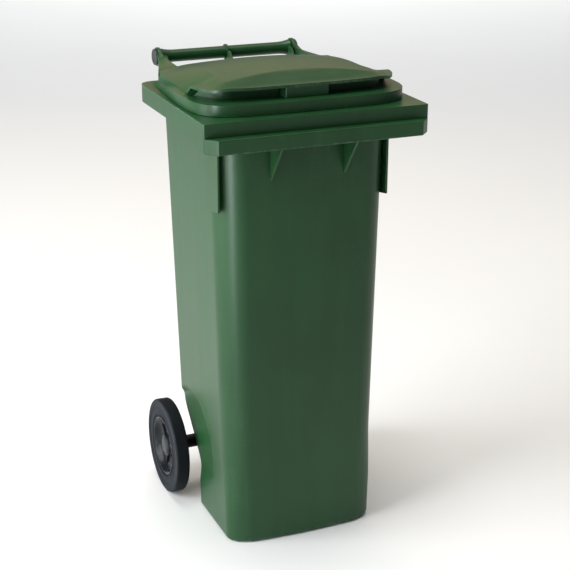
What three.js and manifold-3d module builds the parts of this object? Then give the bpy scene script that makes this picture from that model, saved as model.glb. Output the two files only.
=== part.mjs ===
// Two-wheeled 80 litre refuse bin with a hinged lid, in millimetres.
// +X is to the right seen from the front, +Y to the rear (handle side), +Z up.
// The origin is on the ground, under the middle of the bin's overall box.
import * as THREE from 'three';
import { mergeVertices } from 'three/addons/utils/BufferGeometryUtils.js';
import Module from 'manifold-3d';

const wasm = await Module();
wasm.setup();

// driving dimensions
const wall = 4;               // moulded wall of the body and lid
const gap = 0.35;             // clearance between neighbouring pieces
const rim = {
  half: 220, front: -236, rear: 146, top: 876.5, corner: 30,
  mouthRear: 108, deck: 7,    // the deck behind the mouth that the lid's back edge rests over
  step: 851,                  // top of the lip that the lifting comb takes
  lipFront: -257, lipBottom: 823.5, lipChamfer: 20, skirtBottom: 843,
};
const tub = {
  halfBottom: 155, halfTop: 174, front: -182, frontBulge: 9,
  rearBottom: 104, rearTop: 140, height: 860,
  frontCorner: 52, rearCorner: 22, footRound: 9,
};
const ramp = { footY: 10, footZ: 100, topY: 122 };      // 45 degree wheel bay under the rear wall
const dish = { y: 28, z: 136, radius: 124, depth: 2.5, tilt: 3.2, frontZ: 112, rearZ: 30 };
const gusset = { x: 74, bottom: 749, thick: 4 };
const fin = { bottom: 693, front: -173, back: -120, thick: 4 };
const handle = { y: 240, z: 904, radius: 12.5, half: 142.5, ribX: 137, ribThick: 5.5, collar: 16 };
// the arms widen from the hinge towards the corners of the lid
const hinge = {
  pinRadius: 7, pinDepth: 32, lugRadius: 19, armInner: 143.6, armOuter: 150.6,
  fanFrom: 222, fanTo: 90, fanWidth: 45,
};
const pinHead = { radius: 16.5, thick: 5 };
const lid = {
  half: 211, front: -206, frontBulge: 4, rear: 120, bottom: 877.5, ledge: 897.5,
  frontCorner: 92, rearCorner: 34, taperFrom: -60, taper: 13,
  neckHalf: 160, neckFront: -140, neckBulge: 8, neckCorner: 44, flareFront: -95,
  gripBlockHalf: 43, gripBlockFront: -181,
};
// the crown is a superellipse in plan, whose edge is the visor at the front
const crown = {
  half: 200, front: -183, rear: 118, power: 5,
  bottom: 915, edge: 920.5, rise: 17.5, flat: 0.1, ease: 1.7, rearDrop: 13,
};
const axle = { y: 102, z: 100, radius: 10, half: 195 };
const web = { thick: 7, outerX: 100, innerX: 36, radius: 18 };
const wheel = { radius: 100, outer: 204, inner: 176, shoulder: 4, seatRadius: 63 };
const hub = {
  rimWall: 6, discRadius: 57, discBack: 184, bossRadius: 17.5, boreRadius: 14,
  collarRadius: 22.5, capRadius: 19, capWall: 2.2,
  dishRadius: 38, dishDepth: 13, ribs: 8, ribX: 181, ribWide: 8, ribThick: 3,
};
const ringRadius = { sleeve: 14, innerWasher: 17, outerWasher: 15, clip: 13.5 };

// positions along the axle, outwards from the body
const stack = {
  sleeveIn: web.outerX + web.thick / 2 + 0.5,
  sleeveOut: 168,
  washerThick: 2,
  bossOut: 190,
  clipIn: 192.6,
  clipThick: 1.4,
  capIn: 197.4,
  capOut: 201,
};
const bossIn = stack.sleeveOut + stack.washerThick + 2 * gap;

const materials = {
  body: { color: 0x3a5a3f, roughness: 0.42, metalness: 0 },
  lid: { color: 0x44603f, roughness: 0.4, metalness: 0 },
  rubber: { color: 0x2b3238, roughness: 0.75, metalness: 0 },
  hub: { color: 0x1c2024, roughness: 0.35, metalness: 0 },
  cap: { color: 0x4b5258, roughness: 0.5, metalness: 0 },
  pin: { color: 0x4a4c4b, roughness: 0.55, metalness: 0 },
  blackPlastic: { color: 0x17191b, roughness: 0.5, metalness: 0 },
  blackSteel: { color: 0x202224, roughness: 0.4, metalness: 0.9 },
  steel: { color: 0xa9adb0, roughness: 0.35, metalness: 1 },
};

const object = new THREE.Group();

// ---------- helpers ----------

// a closed three.js geometry as a solid, turned the right way out
function solid(geometry) {
  const bare = new THREE.BufferGeometry();
  bare.setAttribute('position', geometry.getAttribute('position').clone());
  if (geometry.index) bare.setIndex(geometry.index.clone());
  const merged = mergeVertices(bare, 1e-3);
  const points = merged.getAttribute('position').array;
  const corners = Array.from(merged.index.array);
  const triangles = [];
  let volume = 0;
  for (let i = 0; i < corners.length; i += 3) {
    const [a, b, c] = corners.slice(i, i + 3);
    if (a === b || b === c || c === a) continue;
    triangles.push([a, b, c]);
    const [p, q, r] = [a, b, c].map((k) => new THREE.Vector3().fromArray(points, 3 * k));
    volume += p.dot(q.cross(r));
  }
  if (volume < 0) triangles.forEach((triangle) => triangle.reverse());
  const mesh = new wasm.Mesh({
    numProp: 3,
    vertProperties: new Float32Array(points),
    triVerts: new Uint32Array(triangles.flat()),
  });
  return new wasm.Manifold(mesh);
}

function addPiece(name, shape, look) {
  const mesh = shape.getMesh();
  const geometry = new THREE.BufferGeometry();
  geometry.setAttribute('position', new THREE.BufferAttribute(new Float32Array(mesh.vertProperties), 3));
  geometry.setIndex(new THREE.BufferAttribute(new Uint32Array(mesh.triVerts), 1));
  geometry.computeVertexNormals();
  const piece = new THREE.Mesh(geometry, new THREE.MeshStandardMaterial(look));
  piece.name = name;
  object.add(piece);
}

// a flat outline in X and Y pushed up from z0 to z1
function upright(shape, z0, z1, steps = 1, curveSegments = 7) {
  const settings = { depth: z1 - z0, steps, bevelEnabled: false, curveSegments };
  return new THREE.ExtrudeGeometry(shape, settings).translate(0, 0, z0);
}

// a flat outline in Y and Z pushed along X from x0 to x1
function across(shape, x0, x1, curveSegments = 8) {
  const settings = { depth: x1 - x0, steps: 1, bevelEnabled: false, curveSegments };
  const geometry = new THREE.ExtrudeGeometry(shape, settings);
  const basis = new THREE.Matrix4().makeBasis(
    new THREE.Vector3(0, 1, 0),
    new THREE.Vector3(0, 0, 1),
    new THREE.Vector3(1, 0, 0),
  );
  return geometry.applyMatrix4(basis).translate(x0, 0, 0);
}

function polygon(points) {
  return new THREE.Shape(points.map(([x, y]) => new THREE.Vector2(x, y)));
}

function box(x0, x1, y0, y1, z0, z1) {
  const geometry = new THREE.BoxGeometry(x1 - x0, y1 - y0, z1 - z0);
  return solid(geometry.translate((x0 + x1) / 2, (y0 + y1) / 2, (z0 + z1) / 2));
}

// a round bar along X
function barAlongX(radius, x0, x1, y, z, sides = 24) {
  const geometry = new THREE.CylinderGeometry(radius, radius, Math.abs(x1 - x0), sides);
  return solid(geometry.rotateZ(-Math.PI / 2).translate((x0 + x1) / 2, y, z));
}

// a turned piece about the axle line, from [radius, distance out] pairs that close on themselves
function turned(profile, side, sides = 24) {
  const points = [...profile, profile[0]].map(([r, out]) => new THREE.Vector2(r, out));
  const geometry = new THREE.LatheGeometry(points, sides).rotateZ(-Math.PI / 2 * side);
  return solid(geometry.translate(0, axle.y, axle.z));
}

function ring(innerRadius, outerRadius, from, to, side) {
  const profile = [[innerRadius, from], [outerRadius, from], [outerRadius, to], [innerRadius, to]];
  return turned(profile, side);
}

// four sided outline with round corners and a front edge that bows out
function roundedOutline({ half, front, rear, frontCorner, rearCorner, bulge = 0 }) {
  const shape = new THREE.Shape();
  shape.moveTo(-half + frontCorner, front);
  shape.quadraticCurveTo(0, front - 2 * bulge, half - frontCorner, front);
  shape.absarc(half - frontCorner, front + frontCorner, frontCorner, -Math.PI / 2, 0, false);
  shape.lineTo(half, rear - rearCorner);
  shape.absarc(half - rearCorner, rear - rearCorner, rearCorner, 0, Math.PI / 2, false);
  shape.lineTo(-half + rearCorner, rear);
  shape.absarc(-half + rearCorner, rear - rearCorner, rearCorner, Math.PI / 2, Math.PI, false);
  shape.lineTo(-half, front + frontCorner);
  shape.absarc(-half + frontCorner, front + frontCorner, frontCorner, Math.PI, 1.5 * Math.PI, false);
  return shape;
}

// move each point of a geometry
function reshape(geometry, move) {
  const position = geometry.getAttribute('position');
  for (let i = 0; i < position.count; i += 1) {
    const [x, y, z] = move(position.getX(i), position.getY(i), position.getZ(i));
    position.setXYZ(i, x, y, z);
  }
  return geometry;
}

function mix(a, b, t) {
  return a + (b - a) * t;
}

function mirrored(shape) {
  return shape.add(shape.mirror([1, 0, 0]));
}

// ---------- body ----------

// the tapered tub; inset makes the hollow that leaves the wall standing
function tubBlock(inset, z0, z1) {
  const outline = roundedOutline({
    half: tub.halfTop - inset,
    front: tub.front + inset,
    rear: tub.rearTop - inset,
    frontCorner: tub.frontCorner - inset,
    rearCorner: tub.rearCorner - inset,
    bulge: tub.frontBulge,
  });
  const levels = [0, 0.12, 0.45, 1].map((t) => z0 + tub.footRound * t);
  const geometry = upright(outline, 0, levels.length, levels.length);
  const frontLine = tub.front - tub.frontBulge;
  return solid(reshape(geometry, (x, y, level) => {
    const z = level < levels.length ? levels[Math.round(level)] : z1;
    const up = z / tub.height;
    const side = mix(tub.halfBottom, tub.halfTop, up) / tub.halfTop;
    const rear = mix(tub.rearBottom, tub.rearTop, up);
    const deep = (rear - frontLine) / (tub.rearTop - frontLine);
    const above = Math.min(z - z0, tub.footRound);
    const tuck = tub.footRound - Math.sqrt(tub.footRound ** 2 - (tub.footRound - above) ** 2);
    const middle = (frontLine + rear) / 2;
    const depth = frontLine + (y - frontLine) * deep;
    return [
      x * side * (1 - tuck / tub.halfTop),
      middle + (depth - middle) * (1 - tuck / (rear - middle)),
      z,
    ];
  }));
}

// the space under the rear wall where the axle runs, grown to leave a wall inside
function wheelBay(grow) {
  const foot = ramp.footY - grow;
  const knee = ramp.footZ + grow * Math.tan(Math.PI / 8);
  const top = knee + (ramp.topY - foot);
  const outline = polygon([
    [foot, -20], [rim.rear + 60, -20], [rim.rear + 60, top], [ramp.topY, top], [foot, knee],
  ]);
  return solid(across(outline, -rim.half, rim.half));
}

// the shallow round hollow pressed into each flank beside the wheel
function flankDish(grow) {
  const tilt = THREE.MathUtils.degToRad(dish.tilt);
  const geometry = new THREE.CylinderGeometry(dish.radius, dish.radius, 80, 36);
  geometry.rotateZ(-Math.PI / 2).translate(40, 0, 0).rotateZ(tilt);
  const flank = mix(tub.halfBottom, tub.halfTop, dish.z / tub.height);
  const sink = dish.depth + grow + dish.radius * Math.sin(tilt);
  geometry.translate(flank - sink, dish.y, dish.z);
  const above = polygon([
    [-100, dish.frontZ - grow], [40, dish.rearZ - grow], [rim.rear, dish.rearZ - grow],
    [rim.rear, rim.top], [-100, rim.top],
  ]);
  return mirrored(solid(geometry).intersect(solid(across(above, 0, rim.half))));
}

// rim and lip outline; the lip stands out in front with chamfered ends
function lipOutline(inset) {
  const side = rim.half - inset;
  const front = rim.lipFront + inset;
  const back = rim.front + inset * 0.6;
  const end = rim.half - rim.lipChamfer - inset * 0.6;
  return polygon([
    [-side, back], [-end, front], [end, front], [side, back],
    [side, rim.rear - inset - 20], [-side, rim.rear - inset - 20],
  ]);
}

function rimOutline(inset) {
  return roundedOutline({
    half: rim.half - inset,
    front: rim.front + inset,
    rear: rim.rear - inset,
    frontCorner: 2,
    rearCorner: rim.corner - inset,
  });
}

function rimChannel() {
  const outside = solid(upright(rimOutline(0), rim.lipBottom, rim.top))
    .add(solid(upright(lipOutline(0), rim.lipBottom, rim.step)));
  const inside = solid(upright(rimOutline(wall), rim.lipBottom - 1, rim.top - wall))
    .add(solid(upright(lipOutline(wall), rim.lipBottom - 1, rim.step - wall)));
  const sweep = new THREE.Shape();
  sweep.moveTo(rim.front, rim.lipBottom - 5);
  sweep.lineTo(rim.front, rim.lipBottom);
  sweep.quadraticCurveTo(-140, rim.skirtBottom - 11, -20, rim.skirtBottom);
  sweep.lineTo(rim.rear + 10, rim.skirtBottom);
  sweep.lineTo(rim.rear + 10, rim.lipBottom - 5);
  return outside.subtract(inside).subtract(solid(across(sweep, -rim.half - 5, rim.half + 5)));
}

// two triangular brackets that carry the lip on the front wall
function lipGussets() {
  const outline = polygon([
    [tub.front - 7, gusset.bottom], [tub.front + 3, gusset.bottom],
    [tub.front + 3, rim.top - 2], [rim.front + 2, rim.top - 2], [rim.front + 2, rim.step - 2],
    [rim.lipFront + 6, rim.step - 2], [rim.lipFront + 6, rim.lipBottom + 14],
  ]);
  return mirrored(solid(across(outline, gusset.x - gusset.thick / 2, gusset.x + gusset.thick / 2)));
}

// upright plates that carry the flat flanks forward past the round front corners
function cornerFins() {
  const half = mix(tub.halfBottom, tub.halfTop, 0.9);
  const outline = polygon([
    [fin.front, fin.bottom], [fin.back, fin.bottom - 8],
    [fin.back, rim.top - 2], [fin.front, rim.top - 2],
  ]);
  return mirrored(solid(across(outline, half - fin.thick + 1, half + 1)));
}

// ribs between the flank and the skirt of the rim
function rimRibs() {
  const ribs = [-150, -75, 0, 75].map((y) => {
    const bottom = rim.skirtBottom + (y < -100 ? 0 : 4);
    return box(tub.halfTop - 6, rim.half - 2, y - 2, y + 2, bottom, rim.top - 2);
  });
  return mirrored(wasm.Manifold.union(ribs));
}

// webs under the wheel bay that hold the axle
function axleWebs() {
  const outline = new THREE.Shape();
  outline.moveTo(ramp.footY - 2, 34);
  outline.lineTo(ramp.footY - 2, ramp.footZ);
  outline.lineTo(ramp.topY - 7, ramp.footZ + ramp.topY - ramp.footY - 4);
  outline.lineTo(axle.y + web.radius, ramp.footZ + 92);
  outline.lineTo(axle.y + web.radius, axle.z);
  outline.absarc(axle.y, axle.z, web.radius, 0, -Math.PI * 0.7, true);
  const webs = [web.outerX, web.innerX].map((x) => {
    return solid(across(outline, x - web.thick / 2, x + web.thick / 2));
  });
  return mirrored(wasm.Manifold.union(webs));
}

// brackets that reach back from the rim to the handle bar
function handleBrackets() {
  const outline = new THREE.Shape();
  outline.moveTo(rim.rear - 6, rim.skirtBottom + 2);
  outline.lineTo(rim.rear - 6, rim.top - 1);
  outline.quadraticCurveTo(handle.y - 52, rim.top, handle.y - 26, handle.z + 3);
  outline.lineTo(handle.y, handle.z + 8);
  outline.lineTo(handle.y + 6, handle.z - 8);
  outline.quadraticCurveTo(handle.y - 40, rim.top - 14, rim.rear, rim.skirtBottom - 14);
  outline.lineTo(rim.rear - 14, rim.skirtBottom - 18);
  const ribs = [-handle.ribX, 0, handle.ribX].map((x) => {
    const plate = solid(across(outline, x - handle.ribThick / 2, x + handle.ribThick / 2));
    const collarHalf = handle.ribThick / 2;
    return plate.add(barAlongX(handle.collar, x - collarHalf, x + collarHalf, handle.y, handle.z));
  });
  return wasm.Manifold.union(ribs);
}

function makeBody() {
  const bar = barAlongX(handle.radius, -handle.half, handle.half, handle.y, handle.z);
  const outside = tubBlock(0, 0, rim.top).subtract(wheelBay(0)).subtract(flankDish(0));
  const hollow = tubBlock(wall, wall, rim.top + 5).subtract(wheelBay(wall)).subtract(flankDish(wall));
  const bores = mirrored(barAlongX(
    hinge.pinRadius + gap, handle.half - hinge.pinDepth, handle.half + 5, handle.y, handle.z,
  ));
  const axleHole = barAlongX(axle.radius + gap, -rim.half, rim.half, axle.y, axle.z);
  const deckHalf = tub.halfTop - wall / 2;
  const deck = box(-deckHalf, deckHalf, rim.mouthRear, tub.rearTop - 1, rim.top - rim.deck, rim.top)
    .intersect(tubBlock(wall / 2, 0, rim.top));
  return outside
    .add(rimChannel())
    .add(lipGussets())
    .add(cornerFins())
    .add(rimRibs())
    .add(axleWebs())
    .add(handleBrackets())
    .add(bar)
    .subtract(hollow)
    .add(deck)
    .subtract(bores)
    .subtract(axleHole);
}

// ---------- lid ----------

// the lid gets a little narrower towards the hinge
function lidBlock(inset, z0, z1) {
  const outline = roundedOutline({
    half: lid.half - inset,
    front: lid.front + inset,
    rear: lid.rear - inset,
    frontCorner: lid.frontCorner - inset,
    rearCorner: lid.rearCorner - inset,
    bulge: lid.frontBulge,
  });
  return reshape(upright(outline, z0, z1), (x, y, z) => {
    const back = Math.max(0, (y - lid.taperFrom) / (lid.rear - lid.taperFrom));
    return [x * (1 - back * lid.taper / lid.half), y, z];
  });
}

// the wall behind the hand recess
function neckBlock(inset, z0, z1) {
  return solid(upright(roundedOutline({
    half: lid.neckHalf - inset,
    front: lid.neckFront + inset,
    rear: lid.rear - inset - 8,
    frontCorner: lid.neckCorner - inset,
    rearCorner: lid.rearCorner - inset,
    bulge: lid.neckBulge,
  }), z0, z1, 1, 6));
}

function rearDrop(y) {
  const middle = (crown.front + crown.rear) / 2;
  return crown.rearDrop * (Math.max(0, y - middle) / (crown.rear - middle)) ** 2;
}

// flanks and back of the lid, sloping in from the flange to the crown
function flare(inset, z0, z1) {
  const slopeIn = 1 - crown.half / lid.half;
  const block = reshape(lidBlock(inset, z0, z1), (x, y, z) => {
    const t = (z - z0) / (z1 - z0);
    return [x * (1 - slopeIn * t), y * (1 - slopeIn * t * 0.4), z - t * rearDrop(y)];
  });
  const back = box(-lid.half, lid.half, lid.flareFront + inset, lid.rear + 5, z0 - 1, z1 + 1);
  return solid(block).intersect(back);
}

// how high the crown stands above its edge, from 1 in the middle to 0 at the edge
function crownRise(radius) {
  const s = Math.max(0, (radius - crown.flat) / (1 - crown.flat));
  return 0.5 * (1 + Math.cos(Math.PI * s ** crown.ease));
}

// the domed crown with its visor; drop and inset make the hollow below it
function crownBlock(drop, inset, bottom) {
  const rings = [0, 0.3, 0.45, 0.57, 0.68, 0.78, 0.87, 0.94, 1];
  const profile = [...rings.map((r) => new THREE.Vector2(r, 1)), new THREE.Vector2(1, 0), new THREE.Vector2(0, 0)];
  const middle = (crown.front + crown.rear) / 2;
  const reach = (crown.rear - crown.front) / 2 - inset;
  const geometry = new THREE.LatheGeometry(profile, 44).rotateX(Math.PI / 2);
  return solid(reshape(geometry, (x, y, top) => {
    const radius = Math.hypot(x, y);
    const angle = Math.atan2(y, x);
    const c = Math.cos(angle);
    const s = Math.sin(angle);
    const square = radius / (Math.abs(c) ** crown.power + Math.abs(s) ** crown.power) ** (1 / crown.power);
    const along = middle + reach * square * s;
    const height = top > 0.5 ? crown.edge + crown.rise * crownRise(radius) : bottom;
    return [(crown.half - inset) * square * c, along, height - drop - rearDrop(along)];
  }));
}

// plates that reach back from the lid's rear corners to the hinge pins
function lidArms() {
  const outline = new THREE.Shape();
  outline.moveTo(100, 886);
  outline.lineTo(100, 903);
  outline.quadraticCurveTo(150, 907, 196, 908);
  outline.quadraticCurveTo(214, 910, handle.y - 14, handle.z + 13);
  outline.absarc(handle.y, handle.z, hinge.lugRadius, Math.PI * 0.77, -Math.PI * 0.62, true);
  outline.quadraticCurveTo(180, 884, 124, 884);
  const plan = polygon([
    [hinge.armInner, hinge.fanTo],
    [hinge.armOuter + hinge.fanWidth, hinge.fanTo],
    [hinge.armOuter, hinge.fanFrom],
    [hinge.armOuter, handle.y + 30],
    [hinge.armInner, handle.y + 30],
  ]);
  const side = solid(across(outline, hinge.armInner - 5, lid.half, 12));
  return mirrored(side.intersect(solid(upright(plan, rim.top, handle.z + 30))));
}

function makeLid() {
  const block = box(
    -lid.gripBlockHalf, lid.gripBlockHalf, lid.gripBlockFront, lid.neckFront + 10,
    lid.ledge - 1, crown.bottom + 1,
  );
  const outside = solid(lidBlock(0, lid.bottom, lid.ledge))
    .add(neckBlock(0, lid.ledge - 2, crown.bottom + 2).intersect(crownBlock(0, 0, lid.ledge - 5)))
    .add(flare(0, lid.ledge - 0.5, crown.bottom + 2))
    .add(block)
    .add(crownBlock(0, 0, crown.bottom));
  const floor = lid.ledge - wall;
  const below = solid(lidBlock(wall, lid.bottom - 1, floor));
  const column = neckBlock(wall, floor - 1, crown.bottom + 40);
  const upper = crownBlock(wall, wall, floor).intersect(column);
  const pinHoles = barAlongX(hinge.pinRadius + gap, -rim.half, rim.half, handle.y, handle.z);
  return outside
    .subtract(below)
    .subtract(upper)
    .subtract(flare(wall, floor - 1, crown.bottom))
    .add(lidArms())
    .subtract(pinHoles);
}

// ---------- wheels, axle and hinge pins ----------

function makeTyre(side) {
  const { radius, outer, inner, shoulder, seatRadius } = wheel;
  const profile = [
    [seatRadius + gap, inner + 3],
    [seatRadius + 12, inner],
    [radius - shoulder, inner],
    [radius - 1, inner + 1.4],
    [radius, inner + shoulder],
    [radius, outer - shoulder],
    [radius - 1, outer - 1.4],
    [radius - shoulder, outer],
    [seatRadius + 8, outer],
    [seatRadius + 4, outer - 1.5],
    [seatRadius + gap, outer - 1.5],
  ];
  return turned(profile, side, 44);
}

function makeHub(side) {
  const edge = wheel.seatRadius;
  const inner = wheel.inner + 2;
  const outer = wheel.outer - 2;
  const profile = [
    [hub.boreRadius, bossIn],
    [hub.bossRadius, bossIn],
    [hub.bossRadius, hub.discBack],
    [edge - hub.rimWall, hub.discBack],
    [edge - hub.rimWall, inner],
    [edge, inner],
    [edge, outer],
    [edge - 4, outer],
    [hub.discRadius, outer - 3],
    [hub.discRadius - 5, outer - 9],
    [hub.dishRadius, outer - hub.dishDepth],
    [hub.collarRadius + 2, outer - 12],
    [hub.collarRadius, outer - 4],
    [hub.capRadius + gap, outer - 4],
    [hub.capRadius + gap, stack.bossOut],
    [hub.boreRadius, stack.bossOut],
  ];
  const ribLength = edge - hub.rimWall - hub.bossRadius + 3;
  const ribMiddle = (edge - hub.rimWall + hub.bossRadius) / 2;
  const ribs = [];
  for (let turn = 0; turn < hub.ribs; turn += 1) {
    const rib = new THREE.BoxGeometry(hub.ribWide, hub.ribThick, ribLength);
    rib.translate(hub.ribX * side, 0, ribMiddle).rotateX(turn * 2 * Math.PI / hub.ribs);
    ribs.push(solid(rib.translate(0, axle.y, axle.z)));
  }
  return turned(profile, side, 40).add(wasm.Manifold.union(ribs));
}

function makeHubCap(side) {
  const { capRadius } = hub;
  const profile = [
    [0, stack.capOut],
    [capRadius - 4, stack.capOut],
    [capRadius - 1, stack.capOut - 1.5],
    [capRadius, stack.capIn],
    [capRadius, stack.bossOut + gap],
    [capRadius - hub.capWall, stack.bossOut + gap],
    [capRadius - hub.capWall, stack.capIn],
    [0, stack.capIn],
  ];
  const points = profile.map(([r, out]) => new THREE.Vector2(r, out));
  const geometry = new THREE.LatheGeometry(points, 28).rotateZ(-Math.PI / 2 * side);
  return solid(geometry.translate(0, axle.y, axle.z));
}

function makeAxle() {
  const points = [
    [0, -axle.half], [axle.radius - 1.5, -axle.half], [axle.radius, -axle.half + 1.5],
    [axle.radius, axle.half - 1.5], [axle.radius - 1.5, axle.half], [0, axle.half],
  ].map(([r, x]) => new THREE.Vector2(r, x));
  const geometry = new THREE.LatheGeometry(points, 24).rotateZ(-Math.PI / 2);
  return solid(geometry.translate(0, axle.y, axle.z));
}

// the plug that the lid turns on, pressed into the end of the handle bar
function makeHingePin(side) {
  const start = handle.half - hinge.pinDepth + 2;
  const face = hinge.armOuter + gap;
  const { radius, thick } = pinHead;
  const points = [
    [0, start], [hinge.pinRadius - 1.5, start], [hinge.pinRadius, start + 2],
    [hinge.pinRadius, face], [radius, face], [radius, face + thick - 1.5],
    [radius - 1.5, face + thick], [0, face + thick],
  ].map(([r, x]) => new THREE.Vector2(r, x));
  const geometry = new THREE.LatheGeometry(points, 24).rotateZ(-Math.PI / 2 * side);
  return solid(geometry.translate(0, handle.y, handle.z));
}

function addWheelSide(name, side) {
  const bore = axle.radius + gap;
  const washerIn = stack.sleeveOut + gap;
  const washerOut = stack.bossOut + gap;
  const { sleeveIn, sleeveOut, bossOut, washerThick, clipIn, clipThick } = stack;
  const black = materials.blackPlastic;
  const zinc = materials.steel;
  const rings = [
    ['hub_bush', bore, hub.boreRadius - gap, bossIn, bossOut, black],
    ['spacer_sleeve', bore, ringRadius.sleeve, sleeveIn, sleeveOut, black],
    ['inner_washer', bore, ringRadius.innerWasher, washerIn, washerIn + washerThick, zinc],
    ['outer_washer', bore, ringRadius.outerWasher, washerOut, washerOut + washerThick, zinc],
    ['retaining_clip', bore, ringRadius.clip, clipIn, clipIn + clipThick, zinc],
  ];
  addPiece(`tyre_${name}`, makeTyre(side), materials.rubber);
  addPiece(`wheel_hub_${name}`, makeHub(side), materials.hub);
  addPiece(`hub_cap_${name}`, makeHubCap(side), materials.cap);
  rings.forEach(([part, inner, outer, from, to, look]) => {
    addPiece(`${part}_${name}`, ring(inner, outer, from, to, side), look);
  });
  addPiece(`hinge_pin_${name}`, makeHingePin(side), materials.pin);
}

addPiece('body', makeBody(), materials.body);
addPiece('lid', makeLid(), materials.lid);
addPiece('axle', makeAxle(), materials.blackSteel);
addWheelSide('left', -1);
addWheelSide('right', 1);

export default object;
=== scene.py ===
import bpy
import bmesh
import math
from mathutils import Matrix, Vector


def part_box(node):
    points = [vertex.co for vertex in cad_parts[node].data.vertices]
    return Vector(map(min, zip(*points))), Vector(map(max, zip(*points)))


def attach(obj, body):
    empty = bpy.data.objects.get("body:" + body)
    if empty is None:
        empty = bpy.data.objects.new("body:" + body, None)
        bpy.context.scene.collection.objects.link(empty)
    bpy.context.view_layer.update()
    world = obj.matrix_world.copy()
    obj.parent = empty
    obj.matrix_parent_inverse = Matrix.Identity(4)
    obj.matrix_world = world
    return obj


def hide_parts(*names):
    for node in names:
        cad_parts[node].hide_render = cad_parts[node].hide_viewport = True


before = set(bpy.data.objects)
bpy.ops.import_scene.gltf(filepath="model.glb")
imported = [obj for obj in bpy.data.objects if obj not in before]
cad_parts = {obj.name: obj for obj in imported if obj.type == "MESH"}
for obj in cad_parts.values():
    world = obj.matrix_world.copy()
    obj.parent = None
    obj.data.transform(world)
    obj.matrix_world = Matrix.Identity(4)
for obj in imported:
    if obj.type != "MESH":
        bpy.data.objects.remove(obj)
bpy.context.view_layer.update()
print("frame loaded")

bodyLow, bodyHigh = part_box("body")
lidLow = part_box("lid")[0]
pinLow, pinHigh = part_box("hinge_pin_right")
tyreLow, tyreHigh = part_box("tyre_right")
axleY = (tyreLow.y + tyreHigh.y) / 2
axleZ = (tyreLow.z + tyreHigh.z) / 2
hingeY = (pinLow.y + pinHigh.y) / 2
hingeZ = (pinLow.z + pinHigh.z) / 2


def fade(value, start, end):
    t = min(1, max(0, (value - start) / (end - start)))
    return t * t * (3 - 2 * t)


def mix(a, b, t):
    return a + (b - a) * t


class Wire:  # a shader socket that can be added, multiplied and so on
    def __init__(self, finish, socket):
        self.finish = finish
        self.socket = socket

    def sum(self, operation, first, second=0.0):
        return self.finish.add("ShaderNodeMath", {"operation": operation}, {0: first, 1: second})

    def __add__(self, other):
        return self.sum("ADD", self, other)

    def __radd__(self, other):
        return self.sum("ADD", other, self)

    def __sub__(self, other):
        return self.sum("SUBTRACT", self, other)

    def __rsub__(self, other):
        return self.sum("SUBTRACT", other, self)

    def __mul__(self, other):
        return self.sum("MULTIPLY", self, other)

    def __rmul__(self, other):
        return self.sum("MULTIPLY", other, self)

    def __pow__(self, other):
        return self.sum("POWER", self, other)

    def __abs__(self):
        return self.sum("ABSOLUTE", self)


class Finish:  # one material and the nodes that make it
    def __init__(self, name, **constants):
        self.material = bpy.data.materials.new(name)
        self.material.use_nodes = True
        self.tree = self.material.node_tree
        self.tree.nodes.clear()
        output = self.tree.nodes.new("ShaderNodeOutputMaterial")
        self.surface = self.tree.nodes.new("ShaderNodeBsdfPrincipled")
        self.tree.links.new(self.surface.outputs["BSDF"], output.inputs["Surface"])
        for socket, value in constants.items():
            self.surface.inputs[socket.replace("_", " ")].default_value = value
        self.place = self.add("ShaderNodeTexCoord", {}, {}, "Object")

    def add(self, kind, settings, sockets, output=0):
        node = self.tree.nodes.new(kind)
        for name, value in settings.items():
            setattr(node, name, value)
        for name, value in sockets.items():
            if isinstance(value, Wire):
                self.tree.links.new(value.socket, node.inputs[name])
            else:
                node.inputs[name].default_value = value
        return Wire(self, node.outputs[output])

    def stretched(self, scale):
        return self.add("ShaderNodeMapping", {}, {"Vector": self.place, "Scale": scale})

    def noise(self, scale, detail=3.0, rough=0.5, where=None):
        sockets = {"Vector": where or self.place, "Scale": scale, "Detail": detail, "Roughness": rough}
        return self.add("ShaderNodeTexNoise", {}, sockets, "Fac")

    def spread(self, value, low, high, fromLow=0.0, fromHigh=1.0, soft=False):
        settings = {"clamp": True, "interpolation_type": "SMOOTHSTEP" if soft else "LINEAR"}
        sockets = {"Value": value, "From Min": fromLow, "From Max": fromHigh, "To Min": low, "To Max": high}
        return self.add("ShaderNodeMapRange", settings, sockets)

    def axes(self):
        parts = self.tree.nodes.new("ShaderNodeSeparateXYZ")
        self.tree.links.new(self.place.socket, parts.inputs[0])
        return [Wire(self, parts.outputs[i]) for i in range(3)]

    def feed(self, socket, value):
        self.tree.links.new(value.socket, self.surface.inputs[socket])

    def bump(self, height, strength, distance, under=None):
        sockets = {"Height": height, "Strength": strength, "Distance": distance}
        if under:
            sockets["Normal"] = under
        return self.add("ShaderNodeBump", {}, sockets)


def color(r, g, b):
    return (r, g, b, 1.0)


# Blender's Mix node keeps one pair of sockets for each kind of value, so colours go by number
mixSockets = {"Factor": 0, "A": 6, "B": 7, "Result": 2}


def mixColor(finish, amount, first, second):
    sockets = {mixSockets["Factor"]: amount, mixSockets["A"]: first, mixSockets["B"]: second}
    return finish.add("ShaderNodeMix", {"data_type": "RGBA"}, sockets, mixSockets["Result"])


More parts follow.
